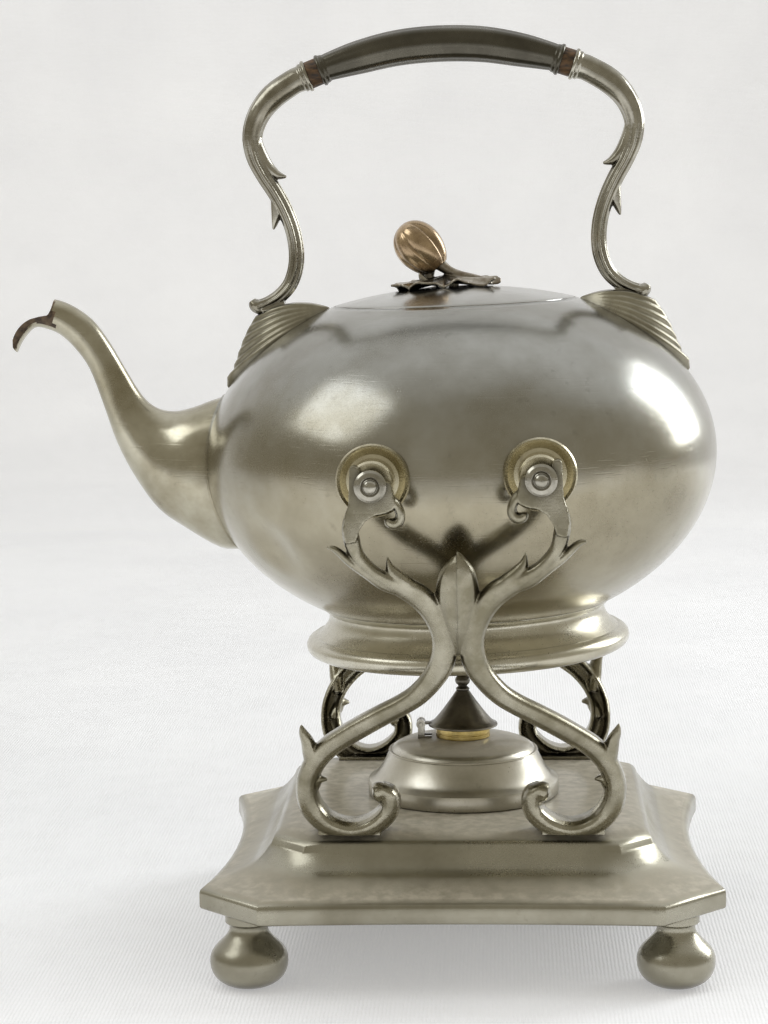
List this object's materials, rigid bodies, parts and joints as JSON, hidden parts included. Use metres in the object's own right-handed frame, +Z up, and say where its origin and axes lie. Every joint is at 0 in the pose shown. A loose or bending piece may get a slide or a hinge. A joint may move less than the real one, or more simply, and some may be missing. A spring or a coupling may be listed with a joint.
{
  "type": "spirit kettle on stand",
  "caption": "Round-bodied kettle with hinged lid and arched handle, hung by trunnion pins in the hooks of a scrolled stand over a spirit burner with snuffer.",
  "frame": {"origin": "on the floor, under the centre of the stand's square plinth", "axes": "+Z up; the spout points to -X; -Y is the front, the lid's hinge lies at the back"},
  "size_m": [0.2745, 0.2424, 0.3561],
  "materials": {
    "pewter": "dull polished old pewter with a warm grey tarnish",
    "dark_pewter": "pewter with a darker tarnish",
    "brown_pewter": "pewter with a brown patina in its hollows",
    "brass": "worn bare brass",
    "bone_brown": "brown insulating material, taken as stained bone or hard fibre",
    "cotton": "plaited cotton wick"
  },
  "bodies": {
    "stand": {"base_plinth": "pewter", "foot_front_left": "pewter", "foot_front_right": "pewter", "foot_back_left": "pewter", "foot_back_right": "pewter", "arm_front_left": "pewter", "arm_front_right": "pewter", "arm_back_left": "pewter", "arm_back_right": "pewter"},
    "kettle": {"kettle_bowl": "pewter", "kettle_belt": "pewter", "kettle_shoulder": "pewter", "kettle_foot_ring": "pewter", "spout": "pewter", "lid_seat_ring": "dark_pewter", "bracket_left": "pewter", "bracket_right": "pewter", "handle_leg_left": "pewter", "handle_leg_right": "pewter", "insulator_left": "bone_brown", "insulator_right": "bone_brown", "handle_grip": "dark_pewter", "trunnion_flange_front_left": "pewter", "trunnion_flange_front_right": "pewter", "trunnion_flange_back_left": "pewter", "trunnion_flange_back_right": "pewter", "trunnion_pin_front_left": "pewter", "trunnion_pin_front_right": "pewter", "trunnion_pin_back_left": "pewter", "trunnion_pin_back_right": "pewter", "body_hinge": "pewter", "lid_hinge_pin": "dark_pewter"},
    "lid": {"lid_dome": "pewter", "lid_bezel": "dark_pewter", "lid_hinge_leaf": "pewter", "finial_leaf": "brown_pewter", "finial_fruit": "brown_pewter", "finial_stud": "dark_pewter"},
    "burner": {"burner_font": "pewter", "burner_bottom": "dark_pewter", "snuffer_bracket": "dark_pewter", "snuffer_hinge_pin": "dark_pewter"},
    "wick_holder": {"burner_collar": "brass", "wick_tube": "brass", "wick": "cotton"},
    "snuffer": {"snuffer_cone": "dark_pewter", "snuffer_knob": "dark_pewter"}
  },
  "joints": [
    {"name": "kettle_tilt", "type": "hinge", "parent": "stand", "child": "kettle", "pos_m": [-0.0298, 0, 0.1909], "axis": [0, -1, 0], "range_deg": [0, 55]},
    {"name": "lid_open", "type": "hinge", "parent": "kettle", "child": "lid", "pos_m": [-0.0018, 0.049, 0.25202], "axis": [-0.9996, 0, -0.0297], "range_deg": [0, 95]},
    {"name": "burner_slide", "type": "slide", "parent": "stand", "child": "burner", "axis": [1, 0, 0], "range_m": [0, 0.13]},
    {"name": "wick_holder_turn", "type": "hinge", "parent": "burner", "child": "wick_holder", "pos_m": [0, 0, 0.08], "axis": [0, 0, 1], "continuous": true},
    {"name": "snuffer_open", "type": "hinge", "parent": "burner", "child": "snuffer", "pos_m": [-0.0167, 0, 0.08232], "axis": [0, -1, 0], "range_deg": [0, 150]}
  ]
}
